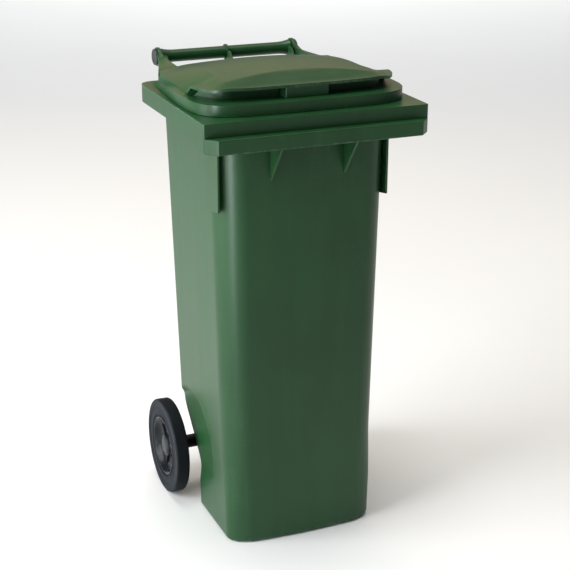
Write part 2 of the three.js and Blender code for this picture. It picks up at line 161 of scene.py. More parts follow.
plasticLook = {
    "deep": color(0.0105, 0.055, 0.0165),
    "base": color(0.0150, 0.073, 0.0225),
    "dusty": color(0.04, 0.085, 0.045),
    "scuff": color(0.11, 0.19, 0.12),
    "roughLow": 0.29,
    "roughHigh": 0.39,
    "cloudScale": 3.2,
    "streakStretch": (26.0, 26.0, 1.6),
    "fleckScale": 210.0,
    "fleckAmount": 0.32,
    "dustHeight": 0.16,
    "dustLow": 0.55,
    "dustAmount": 0.42,
    "scratchStretch": (150.0, 150.0, 14.0),
    "scratchWidth": 0.012,
    "scratchAmount": 0.42,
    "crossStretch": (16.0, 16.0, 260.0),
    "crossWidth": 0.01,
    "crossAmount": 0.4,
    "patchScale": 9.0,
    "wornScale": 95.0,
    "scuffMost": 0.75,
    "waveScale": 5.0,
    "waveDepth": 0.0011,
    "grainScale": 1500.0,
    "grainDepth": 0.00008,
    "markDepth": 0.0002,
}


def plasticFinish(name, look, edges):
    finish = Finish(name, IOR=1.5, Specular_IOR_Level=0.3)
    x, y, z = finish.axes()
    cloud = finish.noise(look["cloudScale"], 4.0, 0.55)
    streaks = finish.noise(1.0, 4.0, 0.6, finish.stretched(look["streakStretch"]))
    tone = finish.spread(cloud * 0.6 + streaks * 0.4, 0.0, 1.0, 0.35, 0.66, True)
    tint = mixColor(finish, tone, look["deep"], look["base"])
    # dust settles in fine flecks and towards the ground
    flecks = finish.spread(finish.noise(look["fleckScale"], 5.0, 0.7), 0.0, look["fleckAmount"], 0.56, 0.8)
    low = finish.spread(z, look["dustLow"], 0.0, 0.0, look["dustHeight"], True)
    dust = (flecks + low * finish.spread(cloud, 0.15, 0.9, 0.35, 0.7)) * look["dustAmount"]
    tint = mixColor(finish, dust, tint, look["dusty"])
    # thin scratches both ways, in patches, and rubbed edges
    scratchField = finish.noise(1.0, 3.0, 0.5, finish.stretched(look["scratchStretch"]))
    scratchLine = abs(scratchField - 0.5)
    scratches = finish.spread(scratchLine, look["scratchAmount"], 0.0, 0.0, look["scratchWidth"])
    crossField = finish.noise(1.0, 3.0, 0.5, finish.stretched(look["crossStretch"]))
    crossing = finish.spread(abs(crossField - 0.5), look["crossAmount"], 0.0, 0.0, look["crossWidth"])
    patchy = finish.spread(finish.noise(look["patchScale"], 3.0, 0.6), 0.0, 1.0, 0.5, 0.72, True)
    worn = finish.spread(finish.noise(look["wornScale"], 4.0, 0.65), 0.0, 1.0, 0.47, 0.66)
    marked = (scratches + crossing) * patchy * 0.55 + edges(finish, x, y, z) * worn
    scuffs = finish.spread(marked, 0.0, look["scuffMost"])
    finish.feed("Base Color", mixColor(finish, scuffs, tint, look["scuff"]))
    rough = finish.spread(streaks * 0.5 + cloud * 0.5, look["roughLow"], look["roughHigh"], 0.35, 0.65)
    finish.feed("Roughness", rough + scuffs * 0.16 + dust * 0.25)
    wave = finish.bump(finish.noise(look["waveScale"], 2.0, 0.4), 0.5, look["waveDepth"])
    grain = finish.bump(finish.noise(look["grainScale"], 2.0, 0.5), 0.35, look["grainDepth"], wave)
    finish.feed("Normal", finish.bump(1.0 - scuffs, 0.25, look["markDepth"], grain))
    return finish.material


# how far the wear reaches from each edge, in metres, and how strong it is
edgeWear = {
    "near": 0.0008,
    "footFrom": 0.002,
    "footTo": 0.014,
    "rimTo": 0.0035,
    "lipFrom": 0.001,
    "lipTo": 0.006,
    "lipLowTo": 0.004,
    "rimAmount": 0.9,
    "lipAmount": 0.8,
    "hemFrom": 0.0005,
    "hemTo": 0.003,
    "tipTo": 0.004,
    "visorLow": 0.024,
    "visorHigh": 0.02,
    "lidAmount": 0.5,
}


def bodyEdges(finish, x, y, z):
    wear = edgeWear
    foot = finish.spread(z, 1.0, 0.0, wear["footFrom"], wear["footTo"], True)
    rimEdge = finish.spread(abs(z - bodyRim["top"]), 1.0, 0.0, wear["near"], wear["rimTo"], True)
    lipEdge = finish.spread(y, 1.0, 0.0, bodyLow.y + wear["lipFrom"], bodyLow.y + wear["lipTo"], True)
    lipLow = finish.spread(abs(z - bodyRim["lipBottom"]), 1.0, 0.0, wear["near"], wear["lipLowTo"], True)
    sides = finish.spread(abs(x), 0.0, 1.0, bodyHigh.x - wear["rimTo"], bodyHigh.x - wear["near"], True)
    return (foot + rimEdge * sides) * wear["rimAmount"] + lipEdge * lipLow * wear["lipAmount"]


def lidEdges(finish, x, y, z):
    wear = edgeWear
    front, top = crown["front"], crown["top"]
    hem = finish.spread(abs(z - lidLow.z), 1.0, 0.0, wear["hemFrom"], wear["hemTo"], True)
    tip = finish.spread(y, 1.0, 0.0, front + wear["hemFrom"], front + wear["tipTo"], True)
    visor = finish.spread(z, 0.0, 1.0, top - wear["visorLow"], top - wear["visorHigh"], True)
    return (hem + tip * visor) * wear["lidAmount"]


rubberLook = {
    "clean": color(0.0065, 0.0085, 0.011),
    "dusty": color(0.022, 0.029, 0.040),
    "cloudScale": 22.0,
    "sideFrom": 0.004,
    "sideTo": 0.001,
    "ringPitch": 5200.0,
    "ringDepth": 0.00012,
    "grainScale": 700.0,
    "grainDepth": 0.0002,
}


def rubberFinish(look):
    finish = Finish("tyreRubber", IOR=1.2, Specular_IOR_Level=0.5)
    x, y, z = finish.axes()
    reach = ((y - axleY) ** 2.0 + (z - axleZ) ** 2.0) ** 0.5
    cloud = finish.noise(look["cloudScale"], 4.0, 0.6)
    dust = finish.spread(cloud, 0.1, 0.65, 0.35, 0.7, True)
    sideFrom, sideTo = tyreHigh.x - look["sideFrom"], tyreHigh.x - look["sideTo"]
    side = finish.spread(abs(x), 0.15, 1.0, sideFrom, sideTo, True)
    finish.feed("Base Color", mixColor(finish, dust * side, look["clean"], look["dusty"]))
    finish.feed("Roughness", finish.spread(cloud, 0.5, 0.68, 0.3, 0.7))
    # fine turned rings on the side
    rings = finish.add("ShaderNodeMath", {"operation": "SINE"}, {0: reach * look["ringPitch"]})
    fine = finish.bump(finish.noise(look["grainScale"], 3.0, 0.6), 0.4, look["grainDepth"])
    finish.feed("Normal", finish.bump(rings * side, 0.12, look["ringDepth"], fine))
    return finish.material


smallPartLook = {
    "cloudScale": 60.0,
    "markScale": 160.0,
    "markAmount": 0.5,
    "grainScale": 500.0,
    "grainDepth": 0.00008,
}


def smallPartFinish(name, base, worn, rough, metallic=0.0):
    look = smallPartLook
    finish = Finish(name, Metallic=metallic, IOR=1.4, Specular_IOR_Level=0.3)
    cloud = finish.noise(look["cloudScale"], 4.0, 0.6)
    marks = finish.spread(finish.noise(look["markScale"], 4.0, 0.7), 0.0, look["markAmount"], 0.55, 0.8)
    finish.feed("Base Color", mixColor(finish, marks + cloud * 0.2, base, worn))
    finish.feed("Roughness", finish.spread(cloud, rough - 0.06, rough + 0.1, 0.3, 0.7) + marks * 0.15)
    finish.feed("Normal", finish.bump(finish.noise(look["grainScale"], 3.0, 0.6), 0.3, look["grainDepth"]))
    return finish.material


def floorFinish():
    finish = Finish("studioFloor", Roughness=0.75)
    cloud = finish.noise(1.3, 4.0, 0.55)
    finish.feed("Base Color", mixColor(finish, cloud, color(0.86, 0.86, 0.855), color(0.9, 0.9, 0.895)))
    return finish.material


def roundedFace(bm, half, front, rear, frontRadius, rearRadius, segments=8, at=0.0):
    spots = [(-half, front), (half, front), (half, rear), (-half, rear)]
    corners = [bm.verts.new((x, y, at)) for x, y in spots]
    bm.faces.new(corners)
    for pair, radius in ((corners[:2], frontRadius), (corners[2:], rearRadius)):
        bmesh.ops.bevel(bm, geom=pair, offset=radius, segments=segments, profile=0.5,
                        affect="VERTICES", material=-1)
    return bm.faces[:]


def splitLongEdges(bm, longest):
    for edge in bm.edges[:]:
        cuts = int(edge.calc_length() / longest)
        if cuts:
            bmesh.ops.subdivide_edges(bm, edges=[edge], cuts=cuts)


def pull(bm, faces, by):
    result = bmesh.ops.extrude_face_region(bm, geom=faces)
    moved = [item for item in result["geom"] if isinstance(item, bmesh.types.BMVert)]
    bmesh.ops.translate(bm, verts=moved, vec=by)
    return moved


def cutAcross(bm, axis, places):
    normal = Vector((axis == "x", axis == "y", axis == "z"))
    for place in places:
        everything = bm.verts[:] + bm.edges[:] + bm.faces[:]
        bmesh.ops.bisect_plane(bm, geom=everything, plane_co=normal * place, plane_no=normal, dist=1e-6)


def reshape(bm, move):
    for vert in bm.verts:
        vert.co = move(*vert.co)


def flatPlate(points, low, high):
    bm = bmesh.new()
    face = bm.faces.new([bm.verts.new((low, y, z)) for y, z in points])
    pull(bm, [face], (high - low, 0, 0))
    bmesh.ops.recalc_face_normals(bm, faces=bm.faces[:])
    return bm


def arc(y, z, radius, start, end, steps):
    turns = [math.radians(mix(start, end, i / steps)) for i in range(steps + 1)]
    return [(y + radius * math.cos(t), z + radius * math.sin(t)) for t in turns]


def curveThrough(start, control, end, steps):
    spots = []
    for i in range(steps + 1):
        t = i / steps
        spots.append(tuple(
            (1 - t) ** 2 * a + 2 * t * (1 - t) * b + t * t * c for a, b, c in zip(start, control, end)))
    return spots


def turnedShape(profile, y, z, steps=96):
    bm = bmesh.new()
    verts = [bm.verts.new((x, y, z + r)) for r, x in profile]
    edges = [bm.edges.new(pair) for pair in zip(verts, verts[1:])]
    if profile[0][0] > 0 or profile[-1][0] > 0:
        edges.append(bm.edges.new((verts[-1], verts[0])))
    bmesh.ops.spin(bm, geom=verts + edges, cent=(0, y, z), axis=(1, 0, 0), angle=2 * math.pi,
                   steps=steps, use_merge=True)
    bmesh.ops.remove_doubles(bm, verts=bm.verts[:], dist=1e-6)
    bmesh.ops.recalc_face_normals(bm, faces=bm.faces[:])
    return bm


def joinInto(target, extra, mirror=False):
    mesh = bpy.data.meshes.new("spare")
    extra.to_mesh(mesh)
    extra.free()
    target.from_mesh(mesh)
    if mirror:
        mesh.transform(Matrix.Scale(-1, 4, (1, 0, 0)))
        mesh.flip_normals()
        target.from_mesh(mesh)
    bpy.data.meshes.remove(mesh)


bevelAngle = 32  # degrees; flatter edges than this are left as they are


# turns a shape into a finished piece that rides on a body, and hides the CAD nodes that it takes the place of
def makePiece(bm, name, finish, rides, slot, nodes=(), wall=0.0, even=True, bevel=0.0, segments=3):
    mesh = bpy.data.meshes.new(name)
    bm.to_mesh(mesh)
    bm.free()
    mesh.materials.append(finish)
    mesh.shade_smooth()
    piece = bpy.data.objects.new(name, mesh)
    bpy.context.scene.collection.objects.link(piece)
    if wall:
        solidify = piece.modifiers.new("wall", "SOLIDIFY")
        solidify.thickness = wall
        solidify.offset = -1
        solidify.use_even_offset = even
        solidify.thickness_clamp = 1.0
    if bevel:
        rounding = piece.modifiers.new("edges", "BEVEL")
        rounding.width = bevel
        rounding.segments = segments
        rounding.limit_method = "ANGLE"
        rounding.angle_limit = math.radians(bevelAngle)
        rounding.use_clamp_overlap = True
        weights = piece.modifiers.new("shading", "WEIGHTED_NORMAL")
        weights.keep_sharp = True
    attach(piece, rides)
    if nodes:
        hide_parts(*nodes)


bodyRim = {
    "half": bodyHigh.x,
    "front": -0.236,
    "rear": 0.146,
    "top": 0.8765,
    "corner": 0.03,
    "step": 0.851,
    "lipFront": bodyLow.y,
    "lipBottom": 0.8235,
    "lipEnd": 0.02,
    "skirtBottom": 0.843,
    "wall": 0.004,
    "mouthRear": 0.108,
    "frontCorner": 0.002,
    "edgeStep": 0.02,
    "mouthHem": 0.007,
}

tub = {
    "halfBottom": 0.155,
    "halfTop": 0.174,
    "front": -0.182,
    "bow": 0.009,
    "rearBottom": 0.104,
    "rearTop": 0.140,
    "height": 0.86,
    "frontCorner": 0.052,
    "rearCorner": 0.022,
    "footRound": 0.009,
    "edgeStep": 0.005,
    "sliceFrom": 0.012,
    "sliceStep": 0.004,
    "fineSlices": 66,
    "wideFrom": 0.3,
    "wideStep": 0.05,
    "wideSlices": 12,
    "bayFootY": 0.010,
    "bayFootZ": 0.100,
    "bayRound": 0.018,
    "dishY": 0.028,
    "dishZ": 0.136,
    "dishRadius": 0.119,
    "dishEdge": 0.012,
    "dishDepth": 0.0028,
    "dishTilt": 0.003,
    "dishFrontZ": 0.112,
    "dishRearZ": 0.03,
}


def tubHalf(z):
    return mix(tub["halfBottom"], tub["halfTop"], z / tub["height"])


def tubRear(z):
    wallY = mix(tub["rearBottom"], tub["rearTop"], z / tub["height"])
    rampY = tub["bayFootY"] + max(0, z - tub["bayFootZ"])
    # a soft bend where the foot turns into the ramp and the ramp into the rear wall
    bend = tub["bayRound"]
    offset = z - tub["bayFootZ"]
    if abs(offset) < bend:
        rampY = tub["bayFootY"] + (offset + bend) ** 2 / (4 * bend)
    gapToWall = wallY - rampY
    if abs(gapToWall) < bend:
        return wallY - (gapToWall + bend) ** 2 / (4 * bend)
    return min(wallY, rampY)


# how deep the shallow dish beside the wheel is; it fades out along a slanting line near the foot
def dishDepth(y, z):
    distance = math.hypot(y - tub["dishY"], z - tub["dishZ"])
    inside = 1 - fade(distance, tub["dishRadius"] - tub["dishEdge"], tub["dishRadius"])
    slope = (tub["dishRearZ"] - tub["dishFrontZ"]) / 0.14
    line = tub["dishFrontZ"] + slope * (y + 0.1)
    run = mix(0.008, 0.05, fade(y, -0.1, 0.0))
    inside *= fade(z, line, line + run)
    return inside * (tub["dishDepth"] + tub["dishTilt"] * fade(y, -0.11, 0.07))


def tubShell():
    bm = bmesh.new()
    rear = tub["rearTop"]
    roundedFace(bm, tub["halfTop"], tub["front"], rear, tub["frontCorner"], tub["rearCorner"], 12)
    splitLongEdges(bm, tub["edgeStep"])
    top = bodyRim["top"] - 0.002
    pull(bm, bm.faces[:], (0, 0, top))
    bmesh.ops.recalc_face_normals(bm, faces=bm.faces[:])
    mouth = [face for face in bm.faces if face.calc_center_median().z > top - 1e-5]
    bmesh.ops.delete(bm, geom=mouth, context="FACES_ONLY")
    # close slices where the dish and the wheel bay are, wide ones above
    fine = [tub["sliceFrom"] + tub["sliceStep"] * i for i in range(tub["fineSlices"])]
    wide = [tub["wideFrom"] + tub["wideStep"] * i for i in range(tub["wideSlices"])]
    cutAcross(bm, "z", fine + wide)

    def move(x, y, z):
        reach = tub["halfTop"]
        if y < tub["front"] + tub["frontCorner"] + 1e-4:
            y -= tub["bow"] * (1 - (x / reach) ** 2)
        start = tub["front"]
        along = (tubRear(z) - start) / (rear - start)
        y = start + (y - start) * (along if y > start else 1)
        narrow = tubHalf(z) / reach
        if abs(x) > reach - tub["rearCorner"]:
            x -= math.copysign(dishDepth(y, z), x)
        return (x * narrow, y, z)

    reshape(bm, move)
    foot = [edge for edge in bm.edges if all(vert.co.z < 1e-5 for vert in edge.verts)]
    bmesh.ops.bevel(bm, geom=foot, offset=tub["footRound"], segments=5, profile=0.5,
                    affect="EDGES", material=-1)
    return bm


def rimShell():
    bm = bmesh.new()
    rim = bodyRim
    front, rear = rim["front"], rim["rear"]
    roundedFace(bm, rim["half"], front, rear, rim["frontCorner"], rim["corner"], 8, rim["top"])
    splitLongEdges(bm, rim["edgeStep"])
    outer = bm.faces[:]
    pull(bm, outer, (0, 0, -0.06))
    cutAcross(bm, "z", [rim["step"] - 0.002])
    bmesh.ops.recalc_face_normals(bm, faces=bm.faces[:])
    flat = [face for face in bm.faces if abs(face.normal.z) > 0.9]
    bmesh.ops.delete(bm, geom=flat, context="FACES_ONLY")
    lowFront = [
        face for face in bm.faces
        if face.calc_center_median().y < rim["front"] + 0.001
        and face.calc_center_median().z < rim["step"] - 0.003
    ]
    bmesh.ops.delete(bm, geom=lowFront, context="FACES")

    def hem(x, y, z):
        if z < rim["step"] - 0.01:
            sweep = fade(y, rim["front"] - 0.02, -0.03)
            z = mix(rim["lipBottom"], rim["skirtBottom"], sweep)
        return (x, y, z)

    reshape(bm, hem)
    topEdges = [edge for edge in bm.edges if all(vert.co.z > rim["top"] - 1e-5 for vert in edge.verts)]
    mouth = bmesh.new()
    inset = rim["wall"]
    roundedFace(mouth, tub["halfTop"] - inset, tub["front"] + inset, rim["mouthRear"],
                tub["frontCorner"] - inset, tub["rearCorner"], 8, rim["top"])
    splitLongEdges(mouth, rim["edgeStep"])
    bow = tub["bow"]
    reach = tub["halfTop"]
    limit = tub["front"] + tub["frontCorner"]
    reshape(mouth, lambda x, y, z: (x, y - bow * (1 - (x / reach) ** 2) if y < limit else y, z))
    bmesh.ops.delete(mouth, geom=mouth.faces[:], context="FACES_ONLY")
    outerVerts = set(bm.verts)
    joinInto(bm, mouth)
    bm.edges.ensure_lookup_table()
    mouthEdges = [edge for edge in bm.edges if edge.verts[0] not in outerVerts]
    lip = bmesh.ops.extrude_edge_only(bm, edges=mouthEdges)
    lipVerts = [item for item in lip["geom"] if isinstance(item, bmesh.types.BMVert)]
    bmesh.ops.translate(bm, verts=lipVerts, vec=(0, 0, -rim["mouthHem"]))
    bmesh.ops.triangle_fill(bm, edges=topEdges + mouthEdges, use_beauty=True, use_dissolve=False)
    bmesh.ops.recalc_face_normals(bm, faces=bm.faces[:])
    deck = max(bm.faces, key=lambda face: face.calc_center_median().z)
    if deck.normal.z < 0:
        bmesh.ops.reverse_faces(bm, faces=bm.faces[:])
    return bm


def lipShell():
    bm = bmesh.new()
    rim = bodyRim
    end = rim["half"] - rim["lipEnd"]
    spots = [
        (-rim["half"], rim["front"]), (-end, rim["lipFront"]), (end, rim["lipFront"]),
        (rim["half"], rim["front"]),
    ]
    face = bm.faces.new([bm.verts.new((x, y, rim["step"])) for x, y in spots])
    pull(bm, [face], (0, 0, rim["lipBottom"] - rim["step"]))
    bmesh.ops.recalc_face_normals(bm, faces=bm.faces[:])
    hidden = [face for face in bm.faces if face.normal.z < -0.9 or face.normal.y > 0.9]
    bmesh.ops.delete(bm, geom=hidden, context="FACES")
    cutAcross(bm, "x", [-0.15, -0.1, -0.05, 0, 0.05, 0.1, 0.15])
    return bm


bodyDetail = {
    "gussetX": 0.074,
    "gussetLow": 0.749,
    "gussetThick": 0.0045,
    "finLow": 0.693,
    "finFront": -0.173,
    "finThick": 0.0042,
    "ribThick": 0.003,
    "ribPlaces": (-0.15, -0.075, 0.0, 0.075),
    "webThick": 0.007,
    "webOuter": 0.1,
    "webInner": 0.036,
    "webRadius": 0.018,
    "boreRadius": 0.0104,
    "bracketX": 0.137,
    "bracketThick": 0.0055,
    "barRadius": 0.0125,
    "barHalf": 0.1425,
    "collarRadius": 0.016,
}


def platePair(target, points, centre, thick):
    joinInto(target, flatPlate(points, centre - thick / 2, centre + thick / 2), mirror=True)


def bodyDetails():
    bm = bmesh.new()
    rim = bodyRim
    detail = bodyDetail
    under = rim["top"] - 0.003
    wallY = tub["front"] + 0.002
    rimIn, stepIn, lipIn = rim["front"] + 0.002, rim["step"] - 0.002, rim["lipFront"] + 0.003
    gusset = [
        (wallY, detail["gussetLow"]), (wallY, under), (rimIn, under), (rimIn, stepIn), (lipIn, stepIn),
        (lipIn, rim["lipBottom"] + 0.012), (tub["front"] - 0.0075, detail["gussetLow"]),
    ]
    platePair(bm, gusset, detail["gussetX"], detail["gussetThick"])
    finX = tubHalf(0.77) - detail["finThick"] / 2 + 0.0008
    back = tub["front"] + tub["frontCorner"] + 0.02
    fin = [
        (detail["finFront"], detail["finLow"]), (back, detail["finLow"] - 0.011), (back, under),
        (detail["finFront"], under),
    ]
    platePair(bm, fin, finX, detail["finThick"])
    for y in detail["ribPlaces"]:
        low = mix(rim["lipBottom"], rim["skirtBottom"], fade(y, rim["front"], -0.03)) + 0.006
        near, far = y - detail["ribThick"] / 2, y + detail["ribThick"] / 2
        rib = flatPlate([(near, low), (far, low), (far, under), (near, under)],
                        tubHalf(low) - 0.002, rim["half"] - 0.002)
        joinInto(bm, rib, mirror=True)
    return bm


def axleWebs():
    bm = bmesh.new()
    detail = bodyDetail
    radius = detail["webRadius"]
    foot = tub["bayFootY"] - 0.001
    points = [(foot, 0.034), (foot, tub["bayFootZ"] + 0.004), (0.106, 0.198), (axleY + radius, 0.19)]
    points += arc(axleY, axleZ, radius, 0, -126, 12)
    for x in (detail["webOuter"], detail["webInner"]):
        platePair(bm, points, x, detail["webThick"])
        boss = turnedShape([
            (detail["boreRadius"], x - 0.007), (radius - 0.002, x - 0.007),
            (radius - 0.002, x + 0.007), (detail["boreRadius"], x + 0.007)], axleY, axleZ, 48)
        joinInto(bm, boss, mirror=True)
    return bm


def handleShape():
    bm = bmesh.new()
    rim = bodyRim
    detail = bodyDetail
    radius, half = detail["barRadius"], detail["barHalf"]
    # the bar swells towards its ends, where the lid's arms meet it
    endProfile = [
        (radius, 0.116), (radius + 0.0008, 0.126), (radius + 0.0024, 0.135), (0.0163, half - 0.0012),
        (0.0155, half), (0.0076, half),
    ]
    profile = [(r, -x) for r, x in reversed(endProfile)] + [(radius, x) for x in (-0.07, -0.03, 0.03, 0.07)]
    bar = turnedShape(profile + endProfile, hingeY, hingeZ, 64)
    joinInto(bm, bar)
    rear = rim["rear"]
    top = curveThrough((rear - 0.006, rim["top"] - 0.001), (hingeY - 0.052, rim["top"]),
                       (hingeY - 0.026, hingeZ + 0.003), 8)
    low = curveThrough((hingeY + 0.006, hingeZ - 0.008), (hingeY - 0.04, rim["top"] - 0.014),
                       (rear, rim["skirtBottom"] - 0.014), 8)
    outline = [(rear - 0.006, rim["skirtBottom"] + 0.002)] + top + [(hingeY, hingeZ + 0.008)] + low
    outline.append((tub["rearTop"] - 0.004, rim["skirtBottom"] - 0.018))
    for x in (-detail["bracketX"], 0.0, detail["bracketX"]):
        joinInto(bm, flatPlate(outline, x - detail["bracketThick"] / 2, x + detail["bracketThick"] / 2))
    # a collar round the bar on the middle bracket
    side, collar, ease = detail["bracketThick"] / 2, detail["collarRadius"], 0.0008
    rise = [(radius - 0.002, -side), (collar - ease, -side), (collar, ease - side)]
    joinInto(bm, turnedShape(rise + [(r, -x) for r, x in reversed(rise)], hingeY, hingeZ, 64))
    return bm


crown = {
    "half": 0.200,
    "front": -0.184,
    "rear": 0.119,
    "frontPower": 5.0,
    "rearPower": 20.0,
    "taperFrom": -0.06,
    "taper": 0.011,
    "top": 0.9375,
    "frontSlopeEnd": -0.118,
    "frontFall": 0.0155,
    "camber": 0.009,
    "bowPower": 2.2,
    "shoulder": 0.150,
    "shoulderEase": 0.006,
    "slopePower": 1.15,
    "brimFall": 0.0182,
    "brimBend": 0.143,
    "brimStart": 0.178,
    "brimEnd": (-0.113, -0.084),
    "flankEdge": 0.9015,
    "rearBend": 0.73,
    "visorThick": 0.0052,
}

lid = {
    "half": 0.211,
    "front": -0.210,
    "rear": 0.1195,
    "frontPower": 5.0,
    "rearPower": 20.0,
    "taperFrom": -0.06,
    "taper": 0.012,
    "bottom": lidLow.z,
    "ledge": 0.8975,
    "rearLedge": 0.884,
    "wall": 0.0026,
    "across": 120,
    "along": 100,
    "recessStart": 0.36,
    "recessStep": 0.189,
    "recessY": -0.096,
    "hollow": (0.2, 0.45, 0.7, 0.9),
    "hollowPower": 1.6,
    "blockHalf": 0.043,
    "blockFront": -0.183,
}


# a point of a square grid, moved onto the rounded outline of the crown or the flange
def superPoint(u, v, shape):
    power = shape["frontPower"] if v < 0 else shape["rearPower"]
    size = (abs(u) ** power + abs(v) ** power) ** (1 / power)
    k = max(abs(u), abs(v)) / size if size else 0
    middle = (shape["front"] + shape["rear"]) / 2
    y = middle + v * k * (shape["rear"] - shape["front"]) / 2
    back = max(0, (y - shape["taperFrom"]) / (shape["rear"] - shape["taperFrom"]))
    return (u * k * (shape["half"] - back * shape["taper"]), y)


def crownHeight(x, y):
    back = max(0, (y - crown["taperFrom"]) / (crown["rear"] - crown["taperFrom"]))
    reach = abs(x) * crown["half"] / (crown["half"] - back * crown["taper"])
    top = crown["top"] - crown["rearBend"] * max(0, y - crown["taperFrom"]) ** 2
    front = crown["frontFall"] * (1 - fade(y, -0.190, crown["frontSlopeEnd"]))
    # the visor ends in a flat brim, and behind it the flanks run straight down to the flange
    flankFall = top - crown["flankEdge"]
    camber = min(crown["camber"], 0.45 * flankFall)
    bow = min(1, reach / crown["shoulder"]) ** crown["bowPower"]
    start = crown["shoulder"] - crown["shoulderEase"]
    slope = max(0, (reach - start) / (crown["half"] - start)) ** crown["slopePower"]
    drop = fade(reach, crown["brimBend"], crown["brimStart"])
    brim = bow * crown["camber"] + (crown["brimFall"] - crown["camber"]) * drop
    flank = bow * camber + (flankFall - camber) * slope
    side = mix(brim, flank, fade(y, *crown["brimEnd"]))
    return top - (front ** 4 + side ** 4) ** 0.25


# the wall behind the hand recesses in plan, each point with its distance along the line
neckLine = [(0.0, (lid["recessStep"], lid["recessY"]))]
for spot in (curveThrough((0.176, -0.117), (0.163, -0.142), (0.138, -0.1495), 8)
             + curveThrough((0.12, -0.1512), (0.06, -0.156), (0.0, -0.157), 5)):
    last = neckLine[-1]
    neckLine.append((last[0] + math.dist(last[1], spot), spot))


# the wall's point for a place on the edge, by how far round it is from the end of the recess
def neckPoint(u, v):
    side = 1 - lid["recessStart"]
    travel = (-v - lid["recessStart"]) if abs(u) > abs(v) else side + (1 - abs(u))
    travel *= neckLine[-1][0] / (side + 1)
    for (s0, (x0, y0)), (s1, (x1, y1)) in zip(neckLine, neckLine[1:]):
        if travel <= s1 + 1e-9:
            t = (travel - s0) / (s1 - s0)
            return (math.copysign(mix(x0, x1, t), u) if u else 0.0, mix(y0, y1, t))
    return (0.0, neckLine[-1][1][1])


def lidShell():
    bm = bmesh.new()
    bmesh.ops.create_grid(bm, x_segments=lid["across"], y_segments=lid["along"], size=1.0)
    spots = {vert: (vert.co.x, vert.co.y) for vert in bm.verts}
    ringEdges = [edge for edge in bm.edges if edge.is_boundary]
    for vert, (u, v) in spots.items():
        x, y = superPoint(u, v, crown)
        vert.co = (x, y, crownHeight(x, y))
    starts = {spots[vert]: vert.co.copy() for vert in spots}

    def recessed(u, v):
        return v < 0 and -v > lid["recessStart"]

    def stage(number, u, v):
        start = starts[(u, v)]
        fx, fy = superPoint(u, v, lid)
        back = fade(fy, -0.06, 0.1)
        ledge = mix(lid["ledge"], lid["rearLedge"], back)
        inX = fx * (1 - mix(0.004, 0.026, back))
        inY = fy - mix(0.0, 0.003, back)
        if number == 6:  # the bottom edge
            return (fx, fy, lid["bottom"])
        if number == 5:  # the ledge
            return (mix(inX, fx, mix(1, 0.35, back)), mix(inY, fy, mix(1, 0.35, back)), ledge)
        if recessed(u, v):
            under = max(lid["ledge"] + 0.0012, start.z - crown["visorThick"])
            if number == 1:  # the underside of the visor
                return (start.x, start.y, under)
            heights = (under, min(under, lid["ledge"] + 0.003) - 0.0004, lid["ledge"])
            return (*neckPoint(u, v), heights[number - 2])
        # a hollow curve from the edge of the crown down to the flange
        t = lid["hollow"][number - 1]
        pull = t ** lid["hollowPower"]
        return (mix(start.x, inX, pull), mix(start.y, inY, pull), mix(start.z, ledge, t))

    for number in (1, 2, 3, 4, 5, 6):
        grown = bmesh.ops.extrude_edge_only(bm, edges=ringEdges)["geom"]
        newSpots = {}
        for vert in grown:
            if isinstance(vert, bmesh.types.BMVert):
                below = [edge.other_vert(vert) for edge in vert.link_edges]
                newSpots[vert] = next(spots[other] for other in below if other in spots)
        for vert, (u, v) in newSpots.items():
            vert.co = stage(number, u, v)
        ringEdges = [item for item in grown if isinstance(item, bmesh.types.BMEdge)
                     and all(vert in newSpots for vert in item.verts)]
        spots = newSpots
    bmesh.ops.recalc_face_normals(bm, faces=bm.faces[:])
    middle = min(bm.faces, key=lambda face: face.calc_center_median().xy.length)
    if middle.normal.z < 0:
        bmesh.ops.reverse_faces(bm, faces=bm.faces[:])
    return bm


lidDetail = {
    "armInner": 0.1436,
    "armOuter": 0.1506,
    "lugRadius": 0.019,
    "armFan": 0.341,
    "armFanFrom": 0.222,
    "armTilt": 0.006,
}


def gripBlock():
    bm = bmesh.new()
    bmesh.ops.create_cube(bm, size=1.0)
    back = neckLine[-1][1][1] + 0.004
    low = lid["ledge"] - 0.001
    high = crownHeight(0, lid["blockFront"]) - 0.002
    size = (2 * lid["blockHalf"], back - lid["blockFront"], high - low)
    bmesh.ops.scale(bm, verts=bm.verts[:], vec=size)
    place = (0, (back + lid["blockFront"]) / 2, (low + high) / 2)
    bmesh.ops.translate(bm, verts=bm.verts[:], vec=place)
    return bm


def lidArms():
    detail = lidDetail
    outline = [(0.100, 0.887), (0.100, 0.9), (0.118, 0.9035)]
    outline += curveThrough((0.128, 0.9058), (0.165, 0.907), (0.196, 0.909), 8)
    outline += curveThrough((0.203, 0.9097), (0.216, 0.9115), (hingeY - 0.0135, hingeZ + 0.0134), 6)
    outline += arc(hingeY, hingeZ, detail["lugRadius"], 130, -112, 32)
    outline += curveThrough((hingeY - 0.012, hingeZ - 0.0175), (0.18, 0.886), (0.124, 0.886), 10)
    arm = flatPlate(outline, detail["armInner"], detail["armOuter"])
    # the outer side fans out towards the corner of the lid
    for vert in arm.verts:
        if vert.co.x > detail["armOuter"] - 1e-4:
            y = vert.co.y
            vert.co.x += detail["armFan"] * max(0, detail["armFanFrom"] - y)
            if vert.co.z > 0.9:
                vert.co.z -= detail["armTilt"] * fade(y, 0.118, 0.15) * (1 - fade(y, 0.2, 0.222))
    bm = bmesh.new()
    joinInto(bm, arm, mirror=True)
    return bm


